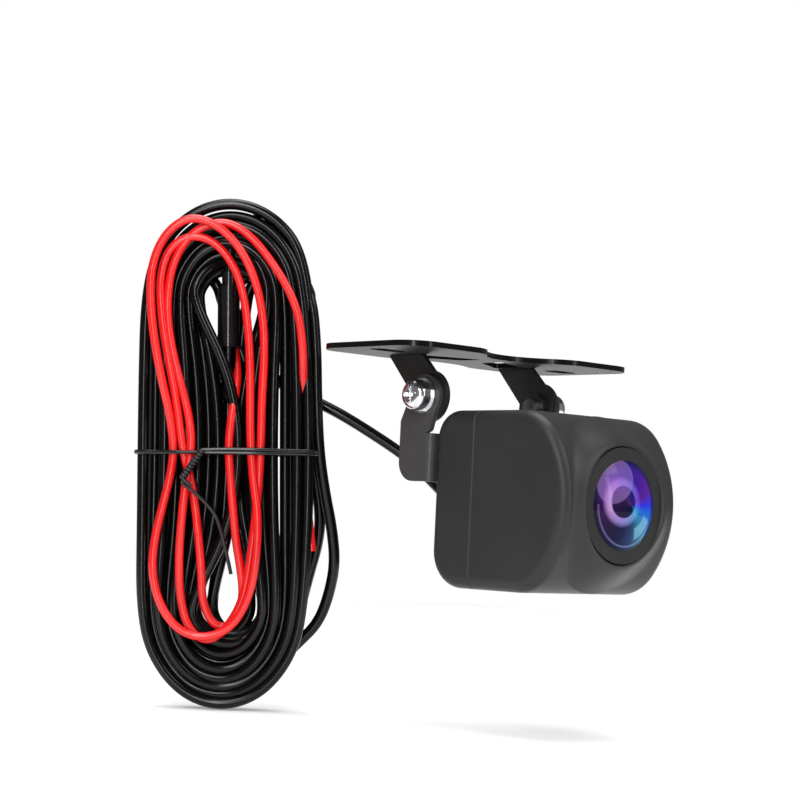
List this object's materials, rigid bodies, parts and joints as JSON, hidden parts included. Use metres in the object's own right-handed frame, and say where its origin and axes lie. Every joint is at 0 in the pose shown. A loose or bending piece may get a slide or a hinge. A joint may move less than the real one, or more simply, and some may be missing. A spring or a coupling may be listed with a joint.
{
  "type": "backup camera",
  "caption": "Square-fronted rear-view camera with a ringed fisheye lens, tilting in a yoke under a butterfly mounting plate, its lead wound into a long tied hank.",
  "frame": {"origin": "middle of the mounting plate's top face", "axes": "+Z out of the plate's top face, the lens looks along -Y, +X along the plate and the tilt axis"},
  "size_m": [0.0722, 0.08, 0.0874],
  "materials": {
    "housing_black": "fine satin ABS",
    "bezel_black": "smooth satin ABS",
    "bracket_black": "black powder coat on steel",
    "screw_steel": "bright zinc plate",
    "screw_dark": "black oxide",
    "glass": "coated glass",
    "ir_glass": "infra-red cut filter",
    "seal_rubber": "silicone",
    "barrel_alloy": "black anodised",
    "holder_plastic": "glass-filled plastic",
    "board_green": "glass-fibre board",
    "brass": "turned brass",
    "chip_black": "moulded epoxy",
    "header_white": "nylon",
    "wire_core": "PVC",
    "cable_black": "glossy PVC",
    "cable_red": "glossy PVC",
    "tie_black": "PVC-coated tie wire",
    "plug_black": "moulded PVC",
    "plug_metal": "black nickel plate"
  },
  "bodies": {
    "plate": {"mounting_plate": "bracket_black", "pivot_screws": "screw_steel", "spring_washers": "screw_steel", "flat_washers": "screw_steel", "lead_tail": "cable_black", "cable_hank": "cable_black", "trigger_hank": "cable_red", "twist_tie": "tie_black", "plug_body": "plug_black", "plug_pin": "plug_metal"},
    "camera": {"yoke": "bracket_black", "yoke_screws": "screw_dark", "shell_screws": "screw_dark", "front_shell": "housing_black", "rear_shell": "housing_black", "shell_gasket": "seal_rubber", "lens_bezel": "bezel_black", "front_glass": "glass", "glass_retainer": "barrel_alloy", "lens_seal": "seal_rubber", "lens_barrel": "barrel_alloy", "aperture_ring": "barrel_alloy", "second_element": "glass", "middle_element": "glass", "rear_element": "glass", "lens_holder": "holder_plastic", "ir_filter": "ir_glass", "image_sensor": "chip_black", "sensor_board": "board_green", "video_board": "board_green", "board_spacers": "brass", "board_screws": "screw_steel", "video_chip": "chip_black", "memory_chip": "chip_black", "power_coil": "chip_black", "wire_header": "header_white", "header_wires": "wire_core", "cable_gland": "seal_rubber", "camera_lead": "cable_black"}
  },
  "joints": [
    {"name": "camera_tilt", "type": "hinge", "parent": "plate", "child": "camera", "pos_m": [0, -0.002, -0.0079], "axis": [1, 0, 0], "range_deg": [-38, 45]}
  ]
}
